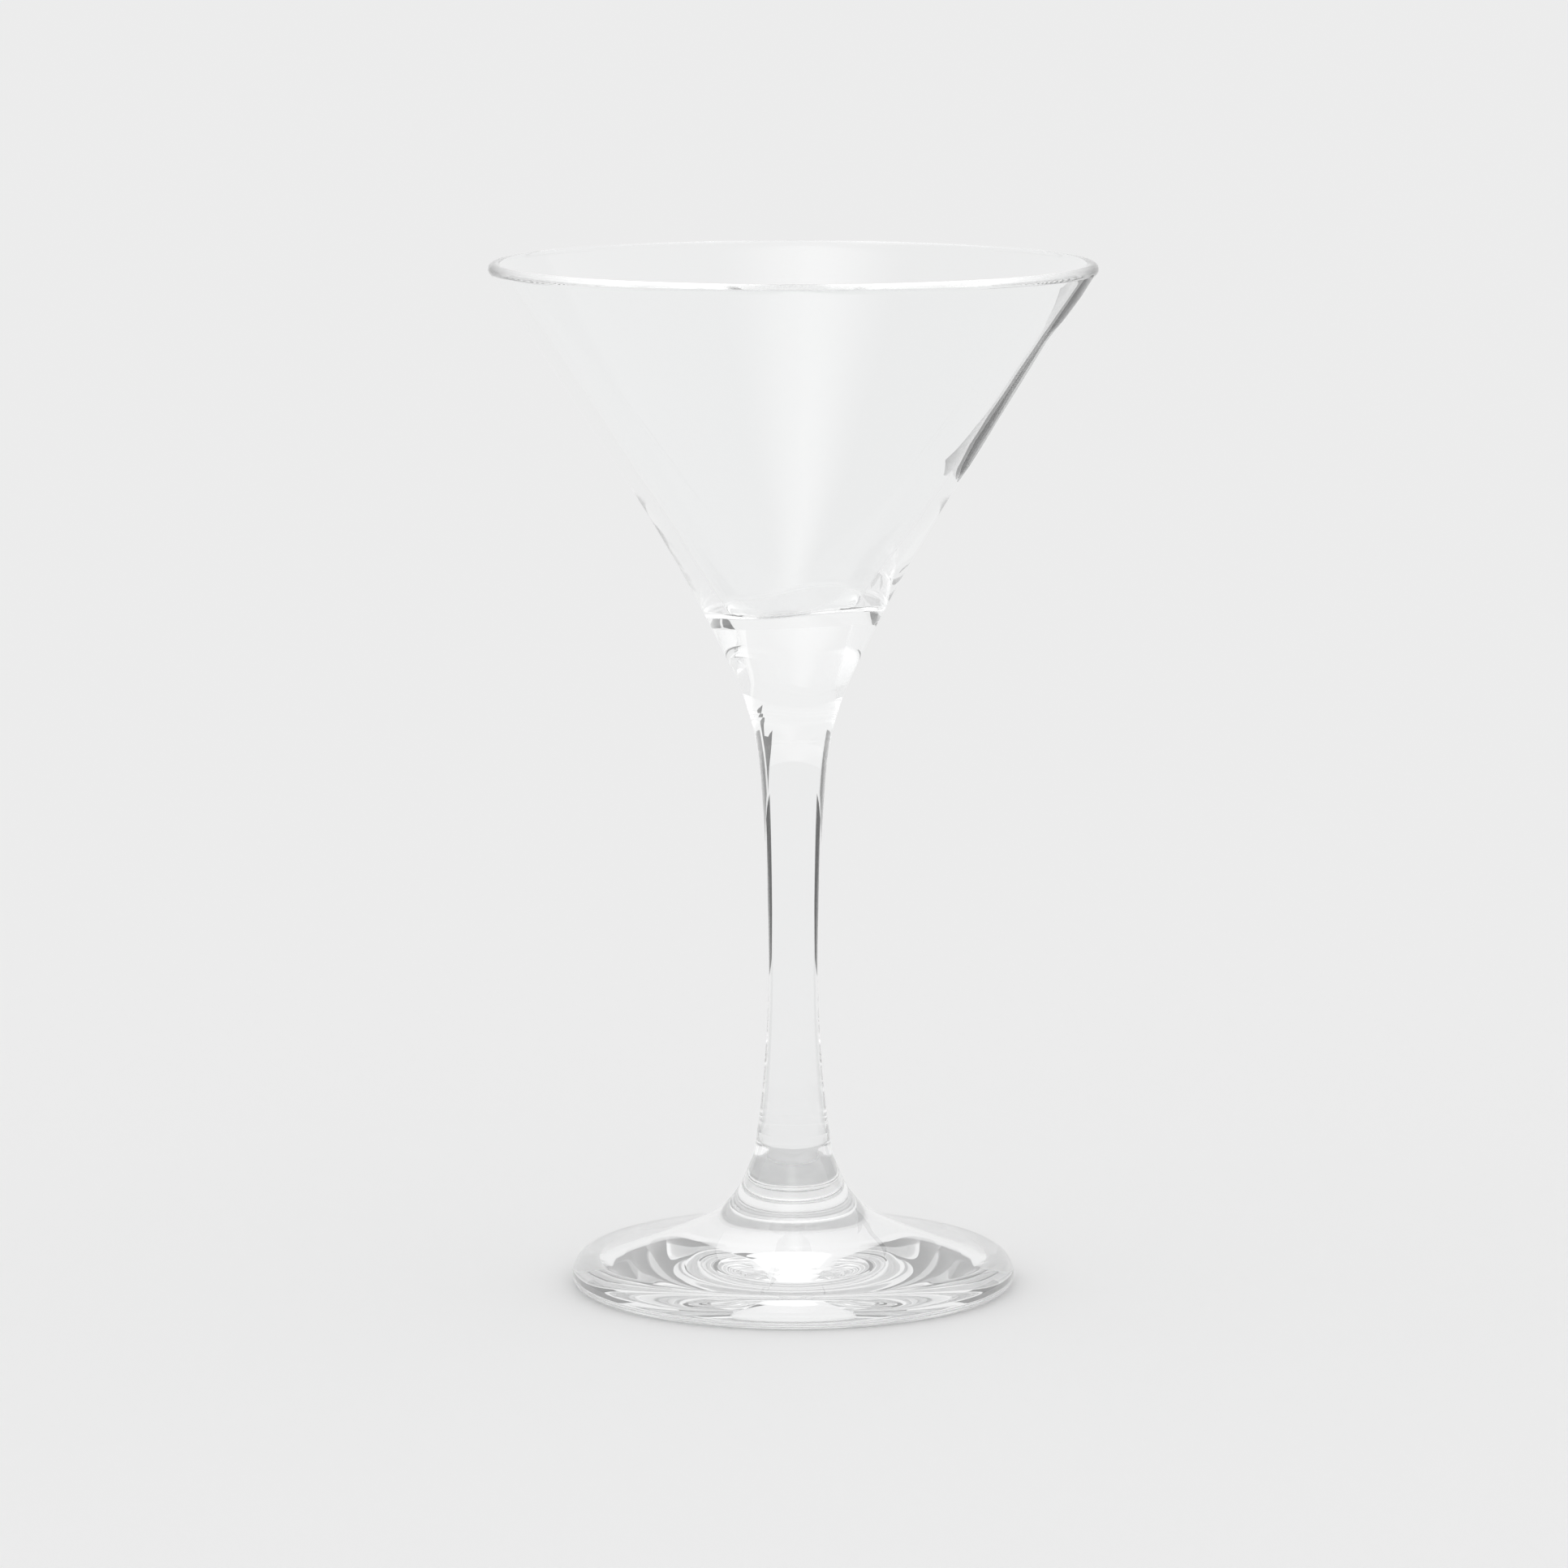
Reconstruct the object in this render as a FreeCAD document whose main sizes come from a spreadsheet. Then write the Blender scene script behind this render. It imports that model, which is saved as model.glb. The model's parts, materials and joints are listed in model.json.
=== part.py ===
import FreeCAD, Part
import math
import os
import Sketcher

# A stemmed martini glass: a conical bowl, a drawn stem and a flared foot, welded hot
# end to end. The origin is the centre of the face it stands on, and +Z runs up the axis.

# Driving dimensions, in millimetres. Angles are in degrees from the axis.
SIZES = {
    "glass_height": 165.0,
    "bowl_weld_height": 93.5,     # where the bowl is welded to the stem
    "foot_weld_height": 25.0,     # where the stem is welded to the foot
    # stem: two long hollow curves that meet at the waist
    "waist_radius": 4.0,
    "waist_height": 51.5,
    "shank_upper_curve": 400.0,
    "shank_lower_curve": 200.0,
    # neck: the hollow curve from the stem into the bowl
    "neck_height": 83.2,
    "neck_curve": 47.0,
    # bowl: a steep lower cone that bends out to the main cone
    "rim_radius": 48.3,
    "rim_curve": 1.05,            # the fire-polished lip is half round
    "lower_cone_angle": 26.0,
    "cone_angle": 33.1,
    "bend_curve": 257.0,
    "inner_cone_angle": 33.0,
    "floor_height": 110.5,        # at the axis
    "floor_tilt": 3.0,            # higher towards +X
    "floor_corner": 1.8,
    # foot: the stem turns into a short cone, the flare, the shallow top and the rounded edge
    "root_height": 21.8,
    "root_curve": 5.0,
    "root_angle": 23.4,
    "flare_height": 17.35,
    "flare_curve": 13.8,
    "foot_top_curve": 66.0,
    "foot_radius": 35.7,
    "edge_upper_curve": 3.5,
    "edge_lower_curve": 1.7,
    "ring_inner_radius": 30.5,    # the foot rests on the flat ring outside this radius
    "hollow_depth": 1.6,          # of the dished underside, at the axis
}

doc = FreeCAD.newDocument("martini_glass")


def make_sheet():
    sheet = doc.addObject("Spreadsheet::Sheet", "sizes")
    for row, (name, value) in enumerate(SIZES.items(), start=1):
        sheet.set(f"A{row}", name)
        sheet.set(f"B{row}", str(value))
        sheet.setAlias(f"B{row}", name)
    doc.recompute()


def size(name):
    return float(doc.sizes.get(name))


def angle(name):
    return math.radians(size(name))


def point(across, up):
    return FreeCAD.Vector(across, up, 0)


# ---- bodies, sketches and outlines --------------------------------------------------


def new_body(name):
    body = doc.addObject("PartDesign::Body", name)
    body.Label = name
    return body


def new_sketch(body, name):
    """A sketch on the body's own XZ plane: its X is across the glass and its Y is up."""
    sketch = body.newObject("Sketcher::SketchObject", name)
    plane = next(f for f in body.Origin.OriginFeatures if f.Role == "XZ_Plane")
    sketch.AttachmentSupport = [(plane, "")]
    sketch.MapMode = "FlatFace"
    return sketch


class Outline:
    """A closed chain of edges, where each edge starts at the end of the one before."""

    def __init__(self, sketch, start):
        self.sketch = sketch
        self.here = start
        self.edges = []           # geometry, its first point, its last point, smooth or not

    def line(self, end, smooth=False):
        geometry = self.sketch.addGeometry(Part.LineSegment(self.here, end), False)
        self.edges.append((geometry, 1, 2, smooth))
        self.here = end
        return geometry

    def arc(self, centre, end, smooth=True):
        start = self.here - centre
        stop = end - centre
        first, last = math.atan2(start.y, start.x), math.atan2(stop.y, stop.x)
        sweep = (last - first + math.pi) % (2 * math.pi) - math.pi
        circle = Part.Circle(centre, FreeCAD.Vector(0, 0, 1), start.Length)
        if sweep >= 0:
            shape = Part.ArcOfCircle(circle, first, first + sweep)
        else:
            shape = Part.ArcOfCircle(circle, first + sweep, first)
        geometry = self.sketch.addGeometry(shape, False)
        ends = (1, 2) if sweep >= 0 else (2, 1)
        self.edges.append((geometry, *ends, smooth))
        self.here = end
        return geometry

    def close(self):
        """Joins the edges end to end, with a tangent where the later edge is smooth."""
        for index, (after, first, _, smooth) in enumerate(self.edges):
            before, _, last, _ = self.edges[index - 1]
            kind = "Tangent" if smooth else "Coincident"
            self.sketch.addConstraint(Sketcher.Constraint(kind, before, last, after, first))

    def start(self, geometry):
        return next(first for edge, first, _, _ in self.edges if edge == geometry)


def bind(sketch, kind, places, value, expression):
    index = sketch.addConstraint(Sketcher.Constraint(kind, *places, value))
    sketch.setExpression(f"Constraints[{index}]", expression)


def set_across(sketch, geometry, end, expression):
    value = sketch.getPoint(geometry, end).x
    bind(sketch, "DistanceX", (-1, 1, geometry, end), value, expression)


def set_up(sketch, geometry, end, expression):
    value = sketch.getPoint(geometry, end).y
    bind(sketch, "DistanceY", (-1, 1, geometry, end), value, expression)


def set_radius(sketch, geometry, name):
    bind(sketch, "Radius", (geometry,), size(name), f"sizes.{name}")


def set_lean(sketch, line, name):
    """The angle between a rising line and the axis."""
    bind(sketch, "Angle", (line,), math.pi / 2 - angle(name), f"90 deg - sizes.{name} * 1 deg")


def lay(sketch, kind, *lines):
    for line in lines:
        sketch.addConstraint(Sketcher.Constraint(kind, line))


def on_axis(sketch, line):
    lay(sketch, "Vertical", line)
    sketch.addConstraint(Sketcher.Constraint("PointOnObject", line, 1, -2))


def revolve(body, sketch):
    turned = body.newObject("PartDesign::Revolution", sketch.Name + "_turned")
    turned.Profile = (sketch, [""])
    turned.ReferenceAxis = (sketch, ["V_Axis"])
    turned.Angle = 360
    body.Tip = turned
    doc.recompute()


# ---- curves that more than one sub-part uses -----------------------------------------


def on_curve(centre, curve, height):
    """The point, at a height, of a hollow curve whose centre lies outside the glass."""
    across = centre.x - math.sqrt(curve ** 2 - (height - centre.y) ** 2)
    return point(across, height)


def next_centre(centre, curve, height, next_curve):
    """The centre of the hollow curve that takes over smoothly at a height."""
    join = on_curve(centre, curve, height)
    return join + (centre - join) * (next_curve / curve)


def shank_centre(name):
    return point(size("waist_radius") + size(name), size("waist_height"))


def neck_centre():
    upper = "shank_upper_curve"
    return next_centre(shank_centre(upper), size(upper), size("neck_height"), size("neck_curve"))


# The centre of the neck's curve again, for the sketches of the stem and the bowl.
NECK_RISE = "((sizes.neck_height - sizes.waist_height) / sizes.shank_upper_curve)"
NECK_UP = f"sizes.neck_height - sizes.neck_curve * {NECK_RISE}"
NECK_ACROSS = (
    "sizes.waist_radius + sizes.shank_upper_curve"
    f" - (sizes.shank_upper_curve - sizes.neck_curve) * sqrt(1 - {NECK_RISE} ^ 2)")


def rim_centre():
    """The centre of the half-round lip."""
    return point(size("rim_radius") - size("rim_curve"), size("glass_height") - size("rim_curve"))


def set_rim_centre(sketch, lip):
    set_across(sketch, lip, 3, "sizes.rim_radius - sizes.rim_curve")
    set_up(sketch, lip, 3, "sizes.glass_height - sizes.rim_curve")
    set_radius(sketch, lip, "rim_curve")


# ---- stem ----------------------------------------------------------------------------


def make_stem():
    body = new_body("stem")
    sketch = new_sketch(body, "stem_outline")
    bottom_up, top_up = size("foot_weld_height"), size("bowl_weld_height")
    lower, upper = shank_centre("shank_lower_curve"), shank_centre("shank_upper_curve")
    neck = neck_centre()
    waist = point(size("waist_radius"), size("waist_height"))

    outline = Outline(sketch, point(0, bottom_up))
    bottom = outline.line(on_curve(lower, size("shank_lower_curve"), bottom_up))
    shank_lower = outline.arc(lower, waist, smooth=False)
    shank_upper = outline.arc(upper, on_curve(upper, size("shank_upper_curve"), size("neck_height")))
    neck_arc = outline.arc(neck, on_curve(neck, size("neck_curve"), top_up))
    top = outline.line(point(0, top_up))
    axis = outline.line(point(0, bottom_up))
    outline.close()

    on_axis(sketch, axis)
    lay(sketch, "Horizontal", bottom, top)
    set_up(sketch, bottom, 1, "sizes.foot_weld_height")
    set_up(sketch, top, 2, "sizes.bowl_weld_height")
    set_across(sketch, shank_upper, outline.start(shank_upper), "sizes.waist_radius")
    set_up(sketch, shank_upper, outline.start(shank_upper), "sizes.waist_height")
    set_up(sketch, shank_upper, 3, "sizes.waist_height")
    set_radius(sketch, shank_lower, "shank_lower_curve")
    set_radius(sketch, shank_upper, "shank_upper_curve")
    set_radius(sketch, neck_arc, "neck_curve")
    set_up(sketch, neck_arc, outline.start(neck_arc), "sizes.neck_height")
    revolve(body, sketch)
    return body


# ---- bowl ----------------------------------------------------------------------------


def bowl_corners():
    """Where the outside of the bowl passes from curve to cone, from the neck to the lip."""
    low_lean, lean = angle("lower_cone_angle"), angle("cone_angle")
    low_out = point(math.cos(low_lean), -math.sin(low_lean))
    out = point(math.cos(lean), -math.sin(lean))
    low_rise = point(math.sin(low_lean), math.cos(low_lean))
    rise = point(math.sin(lean), math.cos(lean))
    neck_end = neck_centre() - low_out * size("neck_curve")
    lip_start = rim_centre() + out * size("rim_curve")
    # the two cones cross here, and the bend rounds that corner
    gap = lip_start - neck_end
    along = gap.dot(out) / low_rise.dot(out)
    corner = neck_end + low_rise * along
    cut = size("bend_curve") * math.tan((lean - low_lean) / 2)
    bend_start = corner - low_rise * cut
    bend_end = corner + rise * cut
    return neck_end, bend_start, bend_start + low_out * size("bend_curve"), bend_end, lip_start


def make_bowl_blank():
    """The bowl before it is hollowed."""
    body = new_body("bowl_blank")
    sketch = new_sketch(body, "blank_outline")
    low, high = size("bowl_weld_height"), size("glass_height")
    neck, rim = neck_centre(), rim_centre()
    neck_end, bend_start, bend_centre, bend_end, lip_start = bowl_corners()

    outline = Outline(sketch, point(0, low))
    bottom = outline.line(on_curve(neck, size("neck_curve"), low))
    neck_arc = outline.arc(neck, neck_end, smooth=False)
    lower_cone = outline.line(bend_start, smooth=True)
    bend = outline.arc(bend_centre, bend_end)
    main_cone = outline.line(lip_start, smooth=True)
    lip = outline.arc(rim, point(rim.x, high))
    top = outline.line(point(0, high), smooth=True)
    axis = outline.line(point(0, low))
    outline.close()

    on_axis(sketch, axis)
    lay(sketch, "Horizontal", bottom)
    set_up(sketch, bottom, 1, "sizes.bowl_weld_height")
    set_across(sketch, neck_arc, 3, NECK_ACROSS)
    set_up(sketch, neck_arc, 3, NECK_UP)
    set_radius(sketch, neck_arc, "neck_curve")
    set_lean(sketch, lower_cone, "lower_cone_angle")
    set_radius(sketch, bend, "bend_curve")
    set_lean(sketch, main_cone, "cone_angle")
    set_rim_centre(sketch, lip)
    lay(sketch, "Horizontal", top)
    revolve(body, sketch)
    return body


def make_bowl_cavity():
    """The space inside the bowl, with its tilted floor and rounded floor corner."""
    body = new_body("bowl_cavity")
    sketch = new_sketch(body, "cavity_outline")
    rim, lip_curve, lean = rim_centre(), size("rim_curve"), angle("inner_cone_angle")
    wall_top = rim + point(-math.cos(lean), math.sin(lean)) * lip_curve
    low = size("floor_height") - 3 * size("floor_corner")
    high = size("glass_height") + size("floor_corner")

    outline = Outline(sketch, point(0, low))
    bottom = outline.line(point(wall_top.x - (wall_top.y - low) * math.tan(lean), low))
    wall = outline.line(wall_top)
    lip = outline.arc(rim, point(rim.x, rim.y + lip_curve))
    collar = outline.line(point(rim.x, high))
    top = outline.line(point(0, high))
    axis = outline.line(point(0, low))
    outline.close()

    on_axis(sketch, axis)
    lay(sketch, "Horizontal", bottom, top)
    set_up(sketch, bottom, 1, "sizes.floor_height - 3 * sizes.floor_corner")
    set_lean(sketch, wall, "inner_cone_angle")
    set_rim_centre(sketch, lip)
    set_across(sketch, collar, 1, "sizes.rim_radius - sizes.rim_curve")
    lay(sketch, "Vertical", collar)
    set_up(sketch, top, 2, "sizes.glass_height + sizes.floor_corner")
    revolve(body, sketch)
    level_floor(body)
    round_floor_corner(body)
    return body


def level_floor(body):
    """Cuts the cavity off at the tilted floor."""
    sketch = new_sketch(body, "floor_cut_outline")
    tilt, middle, half = angle("floor_tilt"), size("floor_height"), size("rim_radius")
    low = middle - half
    left = point(-half, middle - half * math.tan(tilt))
    right = point(half, middle + half * math.tan(tilt))

    outline = Outline(sketch, left)
    floor = outline.line(right)
    right_side = outline.line(point(half, low))
    under = outline.line(point(-half, low))
    left_side = outline.line(left)
    outline.close()

    lay(sketch, "Vertical", right_side, left_side)
    lay(sketch, "Horizontal", under)
    set_across(sketch, floor, 1, "-sizes.rim_radius")
    set_across(sketch, floor, 2, "sizes.rim_radius")
    rise = "sizes.rim_radius * tan(sizes.floor_tilt * 1 deg)"
    set_up(sketch, floor, 1, f"sizes.floor_height - {rise}")
    set_up(sketch, floor, 2, f"sizes.floor_height + {rise}")
    set_up(sketch, under, 1, "sizes.floor_height - sizes.rim_radius")

    before = body.Tip.Shape.Volume
    cut = body.newObject("PartDesign::Pocket", "floor_cut")
    cut.Profile = (sketch, [""])
    cut.Type = "ThroughAll"
    cut.Midplane = True
    body.Tip = cut
    doc.recompute()
    if not cut.Shape.Volume < before:
        raise RuntimeError("the floor cut took nothing away")


def round_floor_corner(body):
    cut, reach = body.Tip, size("floor_height") + size("floor_corner")
    names = [f"Edge{number}" for number, edge in enumerate(cut.Shape.Edges, start=1)
             if edge.BoundBox.ZMax < reach]
    corner = body.newObject("PartDesign::Fillet", "floor_rounding")
    corner.Base = (cut, names)
    corner.setExpression("Radius", "sizes.floor_corner")
    body.Tip = corner
    doc.recompute()


def make_bowl():
    blank = make_bowl_blank()
    cavity = make_bowl_cavity()
    bowl = doc.addObject("Part::Cut", "bowl")
    bowl.Label = "bowl"
    bowl.Base = blank
    bowl.Tool = cavity
    doc.recompute()
    return bowl


# ---- foot ----------------------------------------------------------------------------


def touching_centre(first, first_reach, second, second_reach):
    """The upper of the two points at these distances from two centres."""
    gap = second - first
    along = (first_reach ** 2 - second_reach ** 2 + gap.Length ** 2) / (2 * gap.Length)
    aside = math.sqrt(first_reach ** 2 - along ** 2)
    ahead = gap / gap.Length
    side = point(-ahead.y, ahead.x)
    return max((first + ahead * along + side * way for way in (aside, -aside)), key=lambda p: p.y)


def make_foot():
    body = new_body("foot")
    sketch = new_sketch(body, "foot_outline")
    weld_up, hollow = size("foot_weld_height"), size("hollow_depth")
    shank, shank_curve = shank_centre("shank_lower_curve"), size("shank_lower_curve")
    root_curve, flare_curve = size("root_curve"), size("flare_curve")
    top_curve, edge_curve = size("foot_top_curve"), size("edge_upper_curve")
    root = next_centre(shank, shank_curve, size("root_height"), root_curve)
    lean = angle("root_angle")
    out, down = point(math.cos(lean), math.sin(lean)), point(math.sin(lean), -math.cos(lean))
    root_end = root - out * root_curve
    cone_end = root_end + down * ((root_end.y - size("flare_height")) / math.cos(lean))
    flare = cone_end + out * flare_curve
    widest = point(size("foot_radius"), size("edge_lower_curve"))
    edge = widest - point(edge_curve, 0)
    foot_top = touching_centre(flare, top_curve - flare_curve, edge, top_curve + edge_curve)
    flare_end = foot_top + (flare - foot_top) * (top_curve / (top_curve - flare_curve))
    edge_start = foot_top + (edge - foot_top) * (top_curve / (top_curve + edge_curve))
    ring_outer = point(widest.x - widest.y, 0)
    ring_inner = point(size("ring_inner_radius"), 0)
    dish_curve = (ring_inner.x ** 2 + hollow ** 2) / (2 * hollow)

    outline = Outline(sketch, point(0, weld_up))
    top = outline.line(on_curve(shank, shank_curve, weld_up))
    shank_arc = outline.arc(shank, on_curve(shank, shank_curve, size("root_height")), smooth=False)
    root_arc = outline.arc(root, root_end)
    root_cone = outline.line(cone_end, smooth=True)
    flare_arc = outline.arc(flare, flare_end)
    top_arc = outline.arc(foot_top, edge_start)
    upper_edge = outline.arc(edge, widest)
    lower_edge = outline.arc(point(ring_outer.x, widest.y), ring_outer)
    ring = outline.line(ring_inner, smooth=True)
    dish = outline.arc(point(0, hollow - dish_curve), point(0, hollow), smooth=False)
    axis = outline.line(point(0, weld_up))
    outline.close()

    on_axis(sketch, axis)
    lay(sketch, "Horizontal", top, ring)
    set_up(sketch, top, 1, "sizes.foot_weld_height")
    set_across(sketch, shank_arc, 3, "sizes.waist_radius + sizes.shank_lower_curve")
    set_up(sketch, shank_arc, 3, "sizes.waist_height")
    set_radius(sketch, shank_arc, "shank_lower_curve")
    set_up(sketch, root_arc, outline.start(root_arc), "sizes.root_height")
    set_radius(sketch, root_arc, "root_curve")
    bind(sketch, "Angle", (root_cone,), lean - math.pi / 2, "sizes.root_angle * 1 deg - 90 deg")
    set_up(sketch, flare_arc, outline.start(flare_arc), "sizes.flare_height")
    set_radius(sketch, flare_arc, "flare_curve")
    set_radius(sketch, top_arc, "foot_top_curve")
    set_across(sketch, lower_edge, outline.start(lower_edge), "sizes.foot_radius")
    set_radius(sketch, upper_edge, "edge_upper_curve")
    set_radius(sketch, lower_edge, "edge_lower_curve")
    sketch.addConstraint(Sketcher.Constraint("Horizontal", upper_edge, 3, lower_edge, 3))
    sketch.addConstraint(Sketcher.Constraint("PointOnObject", ring, 1, -1))
    set_across(sketch, dish, outline.start(dish), "sizes.ring_inner_radius")
    sketch.addConstraint(Sketcher.Constraint("PointOnObject", dish, 3, -2))
    set_up(sketch, axis, 1, "sizes.hollow_depth")
    revolve(body, sketch)
    return body


# ---- the glass -----------------------------------------------------------------------


def check(parts):
    for thing in doc.Objects:
        if "Invalid" in thing.State or "Error" in thing.State:
            raise RuntimeError(f"{thing.Name} failed: {thing.State}")
    for part in parts:
        if part.Shape.isNull() or not part.Shape.isValid():
            raise RuntimeError(f"{part.Label} has no valid shape")
        if len(part.Shape.Solids) != 1:
            raise RuntimeError(f"{part.Label} is not one solid")


def describe(parts):
    for part in parts:
        box = part.Shape.optimalBoundingBox()
        print(f"{part.Label}: {part.Shape.Volume / 1000:.2f} cm3, {box.XLength:.2f} across,"
              f" from {box.ZMin:.2f} up to {box.ZMax:.2f}")


make_sheet()
glass = [make_bowl(), make_stem(), make_foot()]
doc.recompute()
check(glass)
os.makedirs("parts", exist_ok=True)
for node in glass:
    node.Shape.exportStep(f"parts/{node.Label}.step")
describe(glass)
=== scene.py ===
import bpy
import json
import math
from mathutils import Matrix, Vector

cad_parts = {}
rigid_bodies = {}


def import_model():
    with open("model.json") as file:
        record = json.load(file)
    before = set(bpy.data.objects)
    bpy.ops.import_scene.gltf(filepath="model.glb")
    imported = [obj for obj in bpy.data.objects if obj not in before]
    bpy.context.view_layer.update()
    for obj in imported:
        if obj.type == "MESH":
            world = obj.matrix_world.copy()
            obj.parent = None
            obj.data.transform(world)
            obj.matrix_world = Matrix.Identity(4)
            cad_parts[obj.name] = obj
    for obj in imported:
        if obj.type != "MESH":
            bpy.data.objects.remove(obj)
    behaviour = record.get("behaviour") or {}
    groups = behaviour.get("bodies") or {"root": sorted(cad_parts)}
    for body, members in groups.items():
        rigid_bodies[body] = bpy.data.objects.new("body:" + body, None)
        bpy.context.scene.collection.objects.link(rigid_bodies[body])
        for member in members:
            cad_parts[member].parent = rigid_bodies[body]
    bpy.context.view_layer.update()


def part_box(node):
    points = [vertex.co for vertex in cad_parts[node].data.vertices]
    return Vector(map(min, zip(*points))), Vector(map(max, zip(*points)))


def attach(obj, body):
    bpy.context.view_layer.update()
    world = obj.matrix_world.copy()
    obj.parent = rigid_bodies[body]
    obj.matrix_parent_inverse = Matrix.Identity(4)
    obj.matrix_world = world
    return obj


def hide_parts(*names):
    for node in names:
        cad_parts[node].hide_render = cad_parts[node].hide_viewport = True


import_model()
scene = bpy.context.scene
mm = 0.001


# An outline is walked from place to place. It keeps its points, as distance from the axis
# and height, its lean from the axis in degrees, and whether it climbs (1) or sinks (-1).
outlineDetail = {
    "arcStep": 3.0,            # degrees between two points of an arc
    "longestStep": 1.0 * mm,
    "discRings": 4,            # rings on the flat discs that close the stem and the foot
}


def startOutline(radius, height, lean=0.0, way=1):
    return {"points": [(radius, height)], "lean": lean, "way": way}


def walkArc(outline, curve, lean):
    # a positive curve bends away from the axis as it goes, a negative one bends over towards it
    radius, height = outline["points"][-1]
    start, end = math.radians(outline["lean"]), math.radians(lean)
    turned = abs(lean - outline["lean"])
    travelled = abs(curve) * math.radians(turned)
    steps = math.ceil(max(turned / outlineDetail["arcStep"],
                          travelled / outlineDetail["longestStep"]))
    for step in range(1, steps + 1):
        now = start + (end - start) * step / steps
        across = radius + curve * (math.cos(start) - math.cos(now))
        up = height + outline["way"] * curve * (math.sin(now) - math.sin(start))
        outline["points"].append((across, up))
    outline["lean"] = lean


def walkLine(outline, length):
    radius, height = outline["points"][-1]
    lean = math.radians(outline["lean"])
    steps = math.ceil(length / outlineDetail["longestStep"])
    for step in range(1, steps + 1):
        gone = length * step / steps
        across = radius + gone * math.sin(lean)
        up = height + outline["way"] * gone * math.cos(lean)
        outline["points"].append((across, up))


def leanAfter(lean, rise, curve):
    # the lean that an arc reaches once it has climbed, or sunk, by rise
    return math.degrees(math.asin(math.sin(math.radians(lean)) + rise / curve))


# the stem, slimmest at its waist
stem = {
    "waistRadius": 4.0 * mm,
    "waistHeight": 51.5 * mm,
    "upperCurve": 400 * mm,
    "lowerCurve": 200 * mm,
    "neckHeight": 83.2 * mm,
    "neckCurve": 47 * mm,      # the neck swells into the bowl
    "footWeld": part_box("stem")[0].z,
    "bowlWeld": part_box("stem")[1].z,
    "weldGap": 0.01 * mm,      # keeps the stem's end faces clear of its neighbours'
}


def shankOutline():
    # from the waist up to the weld under the bowl
    neckLean = leanAfter(0, stem["neckHeight"] - stem["waistHeight"], stem["upperCurve"])
    weldLean = leanAfter(neckLean, stem["bowlWeld"] - stem["neckHeight"], stem["neckCurve"])
    upper = startOutline(stem["waistRadius"], stem["waistHeight"])
    walkArc(upper, stem["upperCurve"], neckLean)
    walkArc(upper, stem["neckCurve"], weldLean)
    # and down to the weld on the foot
    lower = startOutline(stem["waistRadius"], stem["waistHeight"], way=-1)
    walkArc(lower, stem["lowerCurve"], leanAfter(0, stem["waistHeight"] - stem["footWeld"],
                                                 stem["lowerCurve"]))
    return lower, upper


def stemOutline():
    lower, upper = shankOutline()
    side = lower["points"][::-1] + upper["points"][1:]
    side[0] = (side[0][0], side[0][1] + stem["weldGap"])
    side[-1] = (side[-1][0], side[-1][1] - stem["weldGap"])
    return closeAtAxis(side)


def discOutline(edge, rings):
    # from the axis out to the edge, with a few rings so that the faces stay regular
    return [(edge[0] * ring / rings, edge[1]) for ring in range(rings)]


def closeAtAxis(side):
    rings = outlineDetail["discRings"]
    return discOutline(side[0], rings) + side + discOutline(side[-1], rings)[::-1]


# the bowl, with its lip, its inner wall and its floor
bowl = {
    "rimRadius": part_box("bowl")[1].x,
    "rimHeight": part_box("bowl")[1].z,
    "lowerLean": 26.0,
    "coneLean": 33.1,
    "bendCurve": 257 * mm,
    "lipCurve": 1.05 * mm,
    "innerLean": 33.0,
    "floorHeight": 110.5 * mm,
    "floorCorner": 1.8 * mm,
    "floorReach": 14 * mm,     # how far up the wall the floor's lean is felt
    "floorTilt": 3.0,          # degrees, higher towards +X
    "floorWave": 0.3 * mm,
    "floorRadius": 12 * mm,
    "baseRings": 6,            # on the disc that sits on the stem
}


def bowlOutline():
    upper = shankOutline()[1]
    outline = startOutline(*upper["points"][-1], lean=upper["lean"])
    walkArc(outline, stem["neckCurve"], bowl["lowerLean"])
    # the lower cone is as long as it takes for the main cone to arrive at the rim
    low, lean = math.radians(bowl["lowerLean"]), math.radians(bowl["coneLean"])
    lip, bend = bowl["lipCurve"], bowl["bendCurve"]
    radius, height = outline["points"][-1]
    lipRadius = bowl["rimRadius"] - lip + lip * math.cos(lean)
    lipHeight = bowl["rimHeight"] - lip - lip * math.sin(lean)
    missing = lipRadius - radius - bend * (math.cos(low) - math.cos(lean))
    missing -= (lipHeight - height - bend * (math.sin(lean) - math.sin(low))) * math.tan(lean)
    walkLine(outline, missing / (math.sin(low) - math.cos(low) * math.tan(lean)))
    walkArc(outline, bend, bowl["coneLean"])
    walkLine(outline, (lipHeight - outline["points"][-1][1]) / math.cos(lean))
    outside = len(outline["points"])
    walkArc(outline, -lip, bowl["innerLean"] - 180)
    # the inner wall, the corner and the floor, as far as the axis
    inner, corner = math.radians(bowl["innerLean"]), bowl["floorCorner"]
    drop = outline["points"][-1][1] - bowl["floorHeight"] - corner * (1 - math.sin(inner))
    walkLine(outline, drop / math.cos(inner))
    walkArc(outline, corner, -90)
    walkLine(outline, outline["points"][-1][0])
    side = outline["points"]
    base = discOutline(side[0], bowl["baseRings"])
    inside = [0] * (len(base) + outside) + [1] * (len(side) - outside)
    return base + side, inside


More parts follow.
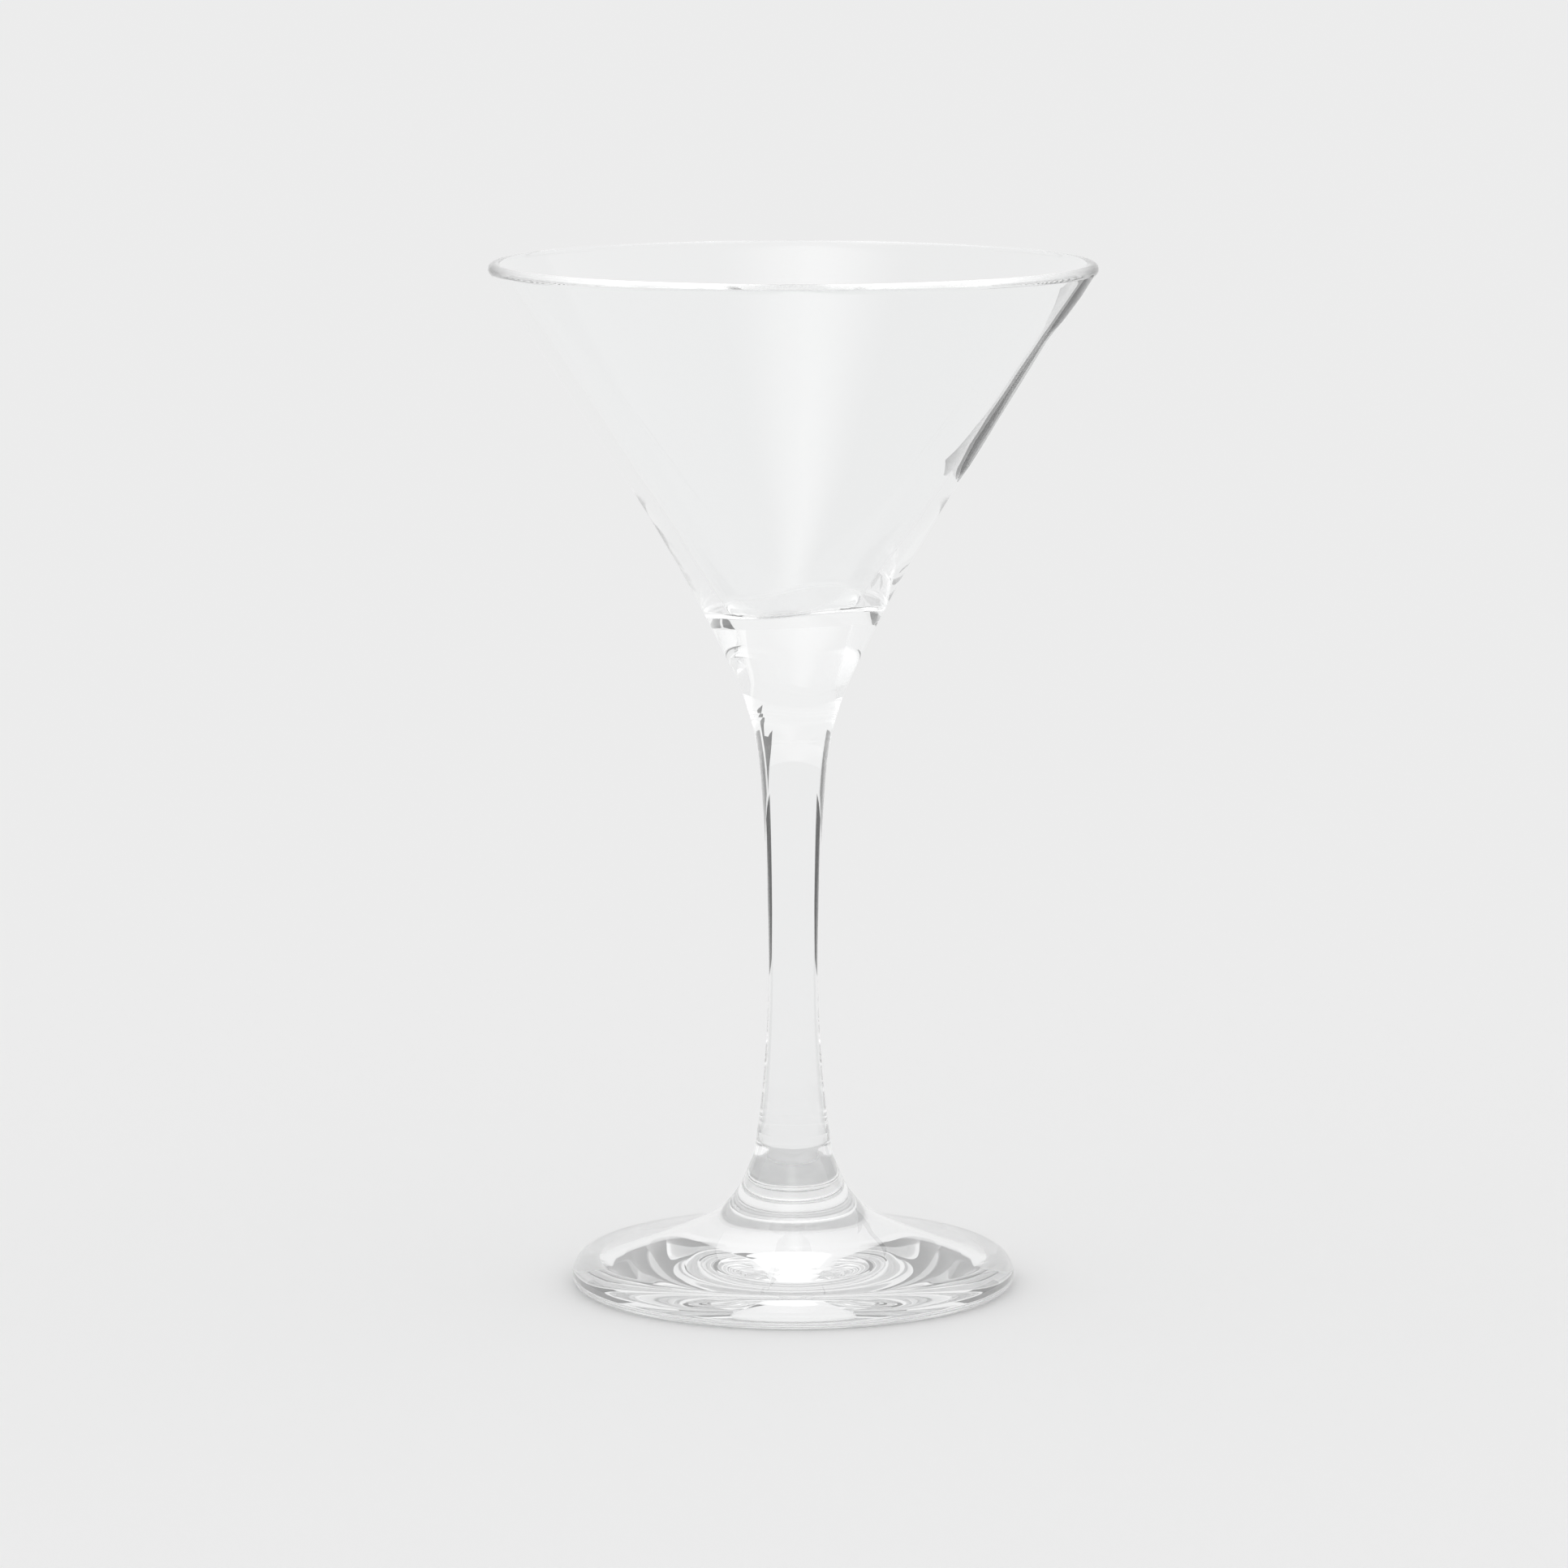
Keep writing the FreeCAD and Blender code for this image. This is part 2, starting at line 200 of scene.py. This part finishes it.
# the foot: a short cone at the stem's root, the flare, the top, the edge and the dish below
foot = {
    "radius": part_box("foot")[1].x,
    "rootHeight": 21.8 * mm,
    "rootCurve": 5 * mm,
    "rootLean": 23.4,
    "flareHeight": 17.35 * mm,
    "flareCurve": 13.8 * mm,
    "topCurve": 66 * mm,
    "edgeUpper": 3.5 * mm,
    "edgeLower": 1.7 * mm,
    "ringInner": 30.5 * mm,
    "hollow": 1.6 * mm,
    "rippleHeight": 0.05 * mm,
    "rippleSize": 8.0 * mm,
    "dishRings": 30,
}


def footOutline():
    lower = shankOutline()[0]
    outline = startOutline(*lower["points"][-1], lean=lower["lean"], way=-1)
    shankLean = leanAfter(outline["lean"], stem["footWeld"] - foot["rootHeight"],
                          stem["lowerCurve"])
    walkArc(outline, stem["lowerCurve"], shankLean)
    walkArc(outline, foot["rootCurve"], foot["rootLean"])
    start = math.radians(foot["rootLean"])
    walkLine(outline, (outline["points"][-1][1] - foot["flareHeight"]) / math.cos(start))
    # the flare and the foot's top are tangent to each other and to the rounded edge
    radius, height = outline["points"][-1]
    short = foot["topCurve"] - foot["flareCurve"]
    long = foot["topCurve"] + foot["edgeUpper"]
    across = foot["radius"] - foot["edgeUpper"] - radius - foot["flareCurve"] * math.cos(start)
    up = height + foot["flareCurve"] * math.sin(start) - foot["edgeLower"]
    gap, slant = math.hypot(across, up), math.atan2(up, across)
    edge = math.acos((short ** 2 - gap ** 2 - long ** 2) / (2 * gap * long)) - slant
    top = math.atan2(long * math.sin(edge) - up, across + long * math.cos(edge))
    walkArc(outline, foot["flareCurve"], math.degrees(top))
    walkArc(outline, foot["topCurve"], math.degrees(edge))
    walkArc(outline, -foot["edgeUpper"], 0)
    walkArc(outline, -foot["edgeLower"], -90)
    walkLine(outline, outline["points"][-1][0] - foot["ringInner"])
    side = outline["points"]
    dishCurve = (foot["ringInner"] ** 2 + foot["hollow"] ** 2) / (2 * foot["hollow"])
    rings = foot["dishRings"]
    for ring in reversed(range(rings)):
        across = foot["ringInner"] * ring / rings
        side.append((across, foot["hollow"] - dishCurve + math.sqrt(dishCurve ** 2 - across ** 2)))
    return (discOutline(side[0], outlineDetail["discRings"]) + side)[::-1]


# how every outline is turned round the axis
turning = {
    "turns": 224,              # faces round the axis
    "mergeGap": 0.002 * mm,
    "sharpAngle": 40.0,
    "beadHeight": 0.05 * mm,   # the slight swelling left at each weld
    "beadWidth": 0.35 * mm,
    "weldReach": 0.015 * mm,   # faces this close to a weld belong to its disc
    "rippleHeight": 0.02 * mm,
    "rippleSize": 9.0 * mm,
    "rippleSquash": 1.6,       # the ripples are lower than they are wide
    "innerShift": 17.0,        # gives the inside ripples of its own
    "calmRadius": 4 * mm,      # nearer the axis than this they die away
    "seed": 4.0,
}


def addNode(tree, kind, sockets=None, **settings):
    made = tree.nodes.new(kind)
    for name, value in settings.items():
        setattr(made, name, value)
    for name, value in (sockets or {}).items():
        if isinstance(value, bpy.types.NodeSocket):
            tree.links.new(value, made.inputs[name])
        else:
            made.inputs[name].default_value = value
    return made


def calc(tree, operation, *values):
    made = tree.nodes.new("ShaderNodeMath")
    made.operation = operation
    for index, value in enumerate(values):
        if isinstance(value, bpy.types.NodeSocket):
            tree.links.new(value, made.inputs[index])
        else:
            made.inputs[index].default_value = value
    return made.outputs[0]


def makeTurningTree():
    tree = bpy.data.node_groups.new("turnedGlass", "GeometryNodeTree")
    kinds = {
        "Outline": "Geometry", "Turns": "Int", "Merge Gap": "Float", "Sharp Angle": "Float",
        "Glass": "Material", "Weld": "Material", "Low Weld": "Float", "High Weld": "Float",
        "Weld Reach": "Float", "Bead Height": "Float", "Bead Width": "Float",
        "Ripple Height": "Float", "Ripple Size": "Float", "Ripple Squash": "Float",
        "Inner Shift": "Float", "Calm Radius": "Float", "Seed": "Float",
        "Floor Height": "Float", "Floor Reach": "Float", "Floor Tilt": "Float",
        "Floor Wave": "Float", "Floor Radius": "Float",
    }
    for name, kind in kinds.items():
        tree.interface.new_socket(name, in_out="INPUT", socket_type="NodeSocket" + kind)
    tree.interface.new_socket("Glass Mesh", in_out="OUTPUT", socket_type="NodeSocketGeometry")
    given = tree.nodes.new("NodeGroupInput").outputs
    result = tree.nodes.new("NodeGroupOutput")

    # a grid, one column for each point of the outline and one row for each step of the turn
    count = addNode(tree, "GeometryNodeAttributeDomainSize", {"Geometry": given["Outline"]})
    rows = calc(tree, "ADD", given["Turns"], 1)
    grid = addNode(tree, "GeometryNodeMeshGrid",
                   {"Vertices X": count.outputs["Point Count"], "Vertices Y": rows})
    index = addNode(tree, "GeometryNodeInputIndex").outputs[0]
    column = calc(tree, "FLOOR", calc(tree, "DIVIDE", calc(tree, "ADD", index, 0.5), rows))
    row = calc(tree, "SUBTRACT", index, calc(tree, "MULTIPLY", column, rows))
    angle = calc(tree, "MULTIPLY", calc(tree, "DIVIDE", row, given["Turns"]), 2 * math.pi)

    def onOutline(field, kind):
        made = addNode(tree, "GeometryNodeSampleIndex", data_type=kind, domain="POINT")
        tree.links.new(given["Outline"], made.inputs["Geometry"])
        tree.links.new(field, next(i for i in made.inputs if i.name == "Value" and i.enabled))
        tree.links.new(column, made.inputs["Index"])
        return next(o for o in made.outputs if o.name == "Value" and o.enabled)

    place = onOutline(addNode(tree, "GeometryNodeInputPosition").outputs[0], "FLOAT_VECTOR")
    marked = addNode(tree, "GeometryNodeInputNamedAttribute", {"Name": "inside"}, data_type="FLOAT")
    inside = onOutline(marked.outputs["Attribute"], "FLOAT")
    split = addNode(tree, "ShaderNodeSeparateXYZ", {"Vector": place}).outputs
    radius, height = split["X"], split["Z"]
    cosine, sine = calc(tree, "COSINE", angle), calc(tree, "SINE", angle)

    # the weld beads swell the outside a little
    swell = None
    for weld in ("Low Weld", "High Weld"):
        away = calc(tree, "DIVIDE", calc(tree, "SUBTRACT", height, given[weld]),
                    given["Bead Width"])
        squared = calc(tree, "MULTIPLY", away, away)
        bead = calc(tree, "EXPONENT", calc(tree, "MULTIPLY", squared, -1))
        swell = bead if swell is None else calc(tree, "ADD", swell, bead)
    swell = calc(tree, "MULTIPLY", swell, given["Bead Height"])

    # slow waves, as blown glass has, different inside and out
    around = addNode(tree, "ShaderNodeCombineXYZ", {
        "X": calc(tree, "MULTIPLY", radius, cosine),
        "Y": calc(tree, "MULTIPLY", radius, sine),
        "Z": calc(tree, "MULTIPLY", height, given["Ripple Squash"])}).outputs[0]
    scaled = addNode(tree, "ShaderNodeVectorMath", {0: around}, operation="SCALE")
    tree.links.new(calc(tree, "DIVIDE", 1, given["Ripple Size"]), scaled.inputs["Scale"])
    noise = addNode(tree, "ShaderNodeTexNoise", {
        "Vector": scaled.outputs[0], "Scale": 1.0, "Detail": 1.0,
        "W": calc(tree, "ADD", given["Seed"],
                  calc(tree, "MULTIPLY", inside, given["Inner Shift"]))},
        noise_dimensions="4D")
    ripple = calc(tree, "MULTIPLY", calc(tree, "SUBTRACT", noise.outputs["Fac"], 0.5),
                  given["Ripple Height"])
    near = calc(tree, "MINIMUM", 1, calc(tree, "DIVIDE", radius, given["Calm Radius"]))
    wide = calc(tree, "ADD", radius,
                calc(tree, "MULTIPLY", near, calc(tree, "ADD", swell, ripple)))

    # the bowl's floor leans and rolls, and the wall above it follows for a short way
    across = calc(tree, "MULTIPLY", wide, cosine)
    along = calc(tree, "MULTIPLY", wide, sine)
    reach = calc(tree, "DIVIDE", calc(tree, "SUBTRACT", height, given["Floor Height"]),
                 given["Floor Reach"])
    hold = addNode(tree, "ShaderNodeMapRange", {
        "Value": reach, "From Min": 0.0, "From Max": 1.0, "To Min": 1.0, "To Max": 0.0},
        interpolation_type="SMOOTHSTEP").outputs[0]
    lean = calc(tree, "MULTIPLY", across, calc(tree, "TANGENT", given["Floor Tilt"]))
    roll = calc(tree, "SINE", calc(tree, "MULTIPLY", calc(tree, "DIVIDE", across,
                given["Floor Radius"]), math.pi))
    wave = calc(tree, "MULTIPLY", roll, given["Floor Wave"])
    lift = calc(tree, "MULTIPLY", calc(tree, "ADD", lean, wave),
                calc(tree, "MULTIPLY", hold, inside))
    spot = addNode(tree, "ShaderNodeCombineXYZ", {
        "X": across, "Y": along, "Z": calc(tree, "ADD", height, lift)}).outputs[0]

    turned = addNode(tree, "GeometryNodeSetPosition",
                     {"Geometry": grid.outputs["Mesh"], "Position": spot})
    closed = addNode(tree, "GeometryNodeMergeByDistance",
                     {"Geometry": turned.outputs[0], "Distance": given["Merge Gap"]})
    outward = addNode(tree, "GeometryNodeFlipFaces", {"Mesh": closed.outputs[0]})
    smooth = addNode(tree, "GeometryNodeSetShadeSmooth", {"Geometry": outward.outputs[0]},
                     domain="FACE")
    edge = addNode(tree, "GeometryNodeInputMeshEdgeAngle").outputs["Unsigned Angle"]
    sharp = addNode(tree, "FunctionNodeCompare", {"A": edge, "B": given["Sharp Angle"]},
                    data_type="FLOAT", operation="GREATER_THAN")
    crisp = addNode(tree, "GeometryNodeSetShadeSmooth", {
        "Geometry": smooth.outputs[0], "Selection": sharp.outputs[0], "Shade Smooth": False},
        domain="EDGE")
    real = addNode(tree, "GeometryNodeRealizeInstances", {"Geometry": crisp.outputs[0]})
    glassy = addNode(tree, "GeometryNodeSetMaterial",
                     {"Geometry": real.outputs[0], "Material": given["Glass"]})
    # only the discs lie wholly at a weld
    middle = addNode(tree, "ShaderNodeSeparateXYZ", {
        "Vector": addNode(tree, "GeometryNodeInputPosition").outputs[0]}).outputs["Z"]
    atWeld = None
    for weld in ("Low Weld", "High Weld"):
        away = calc(tree, "ABSOLUTE", calc(tree, "SUBTRACT", middle, given[weld]))
        close = calc(tree, "LESS_THAN", away, given["Weld Reach"])
        atWeld = close if atWeld is None else calc(tree, "MAXIMUM", atWeld, close)
    welded = addNode(tree, "GeometryNodeSetMaterial", {
        "Geometry": glassy.outputs[0], "Material": given["Weld"], "Selection": atWeld})
    tree.links.new(welded.outputs[0], result.inputs[0])
    return tree


def turn(name, points, settings, inside=None):
    outline = bpy.data.meshes.new(name + "Outline")
    edges = [(step, step + 1) for step in range(len(points) - 1)]
    outline.from_pydata([(across, 0, up) for across, up in points], edges, [])
    marks = outline.attributes.new("inside", "FLOAT", "POINT").data
    marks.foreach_set("value", inside or [0] * len(points))
    lathe = bpy.data.objects.new(name + "Lathe", outline)
    scene.collection.objects.link(lathe)
    modifier = lathe.modifiers.new("turning", "NODES")
    modifier.node_group = turningTree
    values = {
        "Turns": turning["turns"], "Merge Gap": turning["mergeGap"],
        "Sharp Angle": math.radians(turning["sharpAngle"]),
        "Glass": clearGlass, "Weld": weldFace,
        "Low Weld": stem["footWeld"], "High Weld": stem["bowlWeld"],
        "Weld Reach": turning["weldReach"],
        "Bead Height": turning["beadHeight"], "Bead Width": turning["beadWidth"],
        "Ripple Height": turning["rippleHeight"], "Ripple Size": turning["rippleSize"],
        "Ripple Squash": turning["rippleSquash"], "Inner Shift": turning["innerShift"],
        "Calm Radius": turning["calmRadius"], "Seed": turning["seed"], **settings,
    }
    sockets = {item.name: item.identifier for item in turningTree.interface.items_tree
               if item.in_out == "INPUT"}
    for label, value in values.items():
        modifier[sockets[label]] = value
    bpy.context.view_layer.update()
    finished = lathe.evaluated_get(bpy.context.evaluated_depsgraph_get())
    mesh = bpy.data.meshes.new_from_object(finished)
    mesh.materials.pop(index=0)    # the grid's own empty slot
    piece = bpy.data.objects.new(name, mesh)
    scene.collection.objects.link(piece)
    bpy.data.objects.remove(lathe)
    print(name, "turned:", len(piece.data.vertices), "points,", len(piece.data.polygons), "faces")
    return piece


# clear soda-lime glass
glassLook = {
    "ior": 1.52,
    "colour": (0.994, 0.998, 0.998, 1.0),
    "waveSize": 12.0 * mm,     # faint waves and smears left by the gaffer's tools
    "waveDepth": 0.006 * mm,
    "smearSize": 14.0 * mm,
    "smearRoughness": 0.006,
    "smearStart": 0.5,         # how strong the pattern is where a smear begins and is full
    "smearFull": 0.75,
}


def makeGlass():
    material = bpy.data.materials.new("clearGlass")
    material.use_nodes = True
    tree = material.node_tree
    tree.nodes.clear()
    place = addNode(tree, "ShaderNodeTexCoord").outputs["Object"]
    waves = addNode(tree, "ShaderNodeTexNoise", {
        "Vector": place, "Scale": 1 / glassLook["waveSize"], "Detail": 1.0})
    bump = addNode(tree, "ShaderNodeBump", {
        "Strength": 1.0, "Distance": glassLook["waveDepth"], "Height": waves.outputs["Fac"]})
    smears = addNode(tree, "ShaderNodeTexNoise", {
        "Vector": place, "Scale": 1 / glassLook["smearSize"], "Detail": 4.0})
    roughness = addNode(tree, "ShaderNodeMapRange", {
        "Value": smears.outputs["Fac"],
        "From Min": glassLook["smearStart"], "From Max": glassLook["smearFull"],
        "To Min": 0.0, "To Max": glassLook["smearRoughness"]})
    shader = addNode(tree, "ShaderNodeBsdfPrincipled", {
        "Base Color": glassLook["colour"], "Roughness": roughness.outputs[0],
        "IOR": glassLook["ior"], "Transmission Weight": 1.0, "Normal": bump.outputs[0]})
    output = tree.nodes.new("ShaderNodeOutputMaterial")
    tree.links.new(shader.outputs[0], output.inputs["Surface"])
    return material


def makeWeldFace():
    # where two pieces are fused there is no surface left for light to meet
    material = bpy.data.materials.new("weldFace")
    material.use_nodes = True
    tree = material.node_tree
    tree.nodes.clear()
    clear = addNode(tree, "ShaderNodeBsdfTransparent")
    output = tree.nodes.new("ShaderNodeOutputMaterial")
    tree.links.new(clear.outputs[0], output.inputs["Surface"])
    return material


clearGlass = makeGlass()
weldFace = makeWeldFace()
turningTree = makeTurningTree()
bowlPoints, bowlInside = bowlOutline()
pieces = {
    "bowl": turn("bowlGlass", bowlPoints, {
        "Floor Height": bowl["floorHeight"], "Floor Reach": bowl["floorReach"],
        "Floor Tilt": math.radians(bowl["floorTilt"]), "Floor Wave": bowl["floorWave"],
        "Floor Radius": bowl["floorRadius"]}, bowlInside),
    "stem": turn("stemGlass", stemOutline(), {}),
    "foot": turn("footGlass", footOutline(), {
        "Ripple Height": foot["rippleHeight"], "Ripple Size": foot["rippleSize"]}),
}
for node, piece in pieces.items():
    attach(piece, "root")
    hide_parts(node)
print("glass set on its body:", ", ".join(pieces))


# a pale floor under an even, pale sky
studio = {
    "worldGrey": 0.886,
    "floorGrey": 0.95,
    "floorHalf": 12.0,
    "cardRoughness": 0.9,
    "bounces": 160,            # light is passed along inside the glass many times over
}

# dark flags round the glass, seen only in it, which draw its edges: a grey and the corners
flags = {
    "streakFlag": (0.24, [(0.046, 0.12, 0.110), (0.056, 0.12, 0.099), (0.064, 0.12, 0.093),
                          (0.075, 0.12, 0.086), (0.088, 0.12, 0.077), (0.102, 0.12, 0.072),
                          (0.102, 0.12, 0.140), (0.066, 0.12, 0.140), (0.074, 0.12, 0.128),
                          (0.083, 0.12, 0.118), (0.086, 0.12, 0.113), (0.066, 0.12, 0.108)]),
    "rightTable": (0.05, [(0.24, 0.20, 0.001), (0.90, 1.15, 0.001), (1.20, 0.75, 0.001),
                          (0.50, 0.13, 0.001), (0.24, 0.09, 0.001)]),
    "leftTable": (0.05, [(-0.24, 0.20, 0.001), (-0.90, 1.15, 0.001), (-1.20, 0.75, 0.001),
                         (-0.50, 0.13, 0.001), (-0.24, 0.09, 0.001)]),
    "rightWall": (0.34, [(1.3, 1.2, 0.0), (1.3, -0.05, 0.0), (1.3, -0.05, 0.5),
                         (1.3, 1.2, 0.5)]),
    "leftWall": (0.34, [(-1.3, 1.2, 0.0), (-1.3, -0.05, 0.0), (-1.3, -0.05, 0.5),
                        (-1.3, 1.2, 0.5)]),
}
# the light overhead, in two halves named for the side of the bowl they show on: the brightness
# in a strip down the middle, the brightness away from the strip, and the corners
lights = {
    "leftLight": (1.75, 1.0, [(0.02, -0.5, 1.5), (-1.2, -3.0, 1.5), (6.0, -3.0, 1.5),
                              (6.0, 1.7, 1.5), (0.02, 1.7, 1.5)]),
    "rightLight": (1.85, 0.88, [(0.02, -0.5, 1.5), (0.02, 1.7, 1.5), (-6.0, 1.7, 1.5),
                                (-6.0, -3.0, 1.5), (-1.2, -3.0, 1.5)]),
}
lightStrip = {
    "middle": -0.14,
    "reach": 0.80,             # where the strip has faded out, to each side
}


def makeCard(name, grey, corners, glow=None):
    # dull grey card, or a light with a brighter strip when glow is given
    mesh = bpy.data.meshes.new(name)
    mesh.from_pydata(corners, [], [tuple(range(len(corners)))])
    card = bpy.data.objects.new(name, mesh)
    material = bpy.data.materials.new(name + "Face")
    material.use_nodes = True
    tree = material.node_tree
    if glow:
        tree.nodes.clear()
        spot = addNode(tree, "ShaderNodeTexCoord").outputs["Object"]
        across = addNode(tree, "ShaderNodeSeparateXYZ", {"Vector": spot}).outputs["X"]
        away = calc(tree, "ABSOLUTE", calc(tree, "SUBTRACT", across, lightStrip["middle"]))
        fading = addNode(tree, "ShaderNodeMapRange", {
            "Value": away, "From Min": 0.0, "From Max": lightStrip["reach"],
            "To Min": glow, "To Max": grey}, interpolation_type="SMOOTHSTEP")
        shader = addNode(tree, "ShaderNodeEmission", {"Strength": fading.outputs[0]})
        output = tree.nodes.new("ShaderNodeOutputMaterial")
        tree.links.new(shader.outputs[0], output.inputs["Surface"])
    else:
        shader = tree.nodes["Principled BSDF"]
        shader.inputs["Base Color"].default_value = (grey, grey, grey, 1)
        shader.inputs["Roughness"].default_value = studio["cardRoughness"]
    mesh.materials.append(material)
    card.visible_camera = False
    card.visible_diffuse = False
    card.visible_shadow = False
    scene.collection.objects.link(card)


def makeCards():
    for name, (grey, corners) in flags.items():
        makeCard(name, grey, corners)
    for name, (middle, side, corners) in lights.items():
        makeCard(name, side, corners, glow=middle)
    print("flags and lights set:", len(flags) + len(lights))


def makeFloor():
    half = studio["floorHalf"]
    mesh = bpy.data.meshes.new("floor")
    mesh.from_pydata([(-half, -half, 0), (half, -half, 0), (half, half, 0), (-half, half, 0)],
                     [], [(0, 1, 2, 3)])
    floor = bpy.data.objects.new("floor", mesh)
    material = bpy.data.materials.new("paleFloor")
    material.use_nodes = True
    shader = material.node_tree.nodes["Principled BSDF"]
    grey = studio["floorGrey"]
    shader.inputs["Base Color"].default_value = (grey, grey, grey, 1)
    shader.inputs["Roughness"].default_value = 1.0
    shader.inputs["Specular IOR Level"].default_value = 0.0
    mesh.materials.append(material)
    scene.collection.objects.link(floor)
    print("floor laid")


def makeWorld():
    world = bpy.data.worlds.new("studio")
    scene.world = world
    world.use_nodes = True
    grey = studio["worldGrey"]
    world.node_tree.nodes["Background"].inputs["Color"].default_value = (grey, grey, grey, 1)


camera = {
    "distance": 1.11717,
    "height": 0.24736,
    "side": -0.00148,
    "pitch": 8.45,
    "lens": 162.07,
    "sensor": 36.0,
    "nearest": 0.05,
    "farthest": 60,
}


def makeCamera():
    data = bpy.data.cameras.new("camera")
    data.lens = camera["lens"]
    data.sensor_width = camera["sensor"]
    data.clip_start = camera["nearest"]
    data.clip_end = camera["farthest"]
    eye = bpy.data.objects.new("camera", data)
    eye.location = (camera["side"], -camera["distance"], camera["height"])
    eye.rotation_euler = (math.radians(90 - camera["pitch"]), 0, 0)
    scene.collection.objects.link(eye)
    scene.camera = eye
    print("camera placed")


makeWorld()
makeFloor()
makeCards()
makeCamera()
scene.view_settings.view_transform = "Standard"
scene.cycles.max_bounces = studio["bounces"]
scene.cycles.transmission_bounces = studio["bounces"]
scene.cycles.glossy_bounces = studio["bounces"]
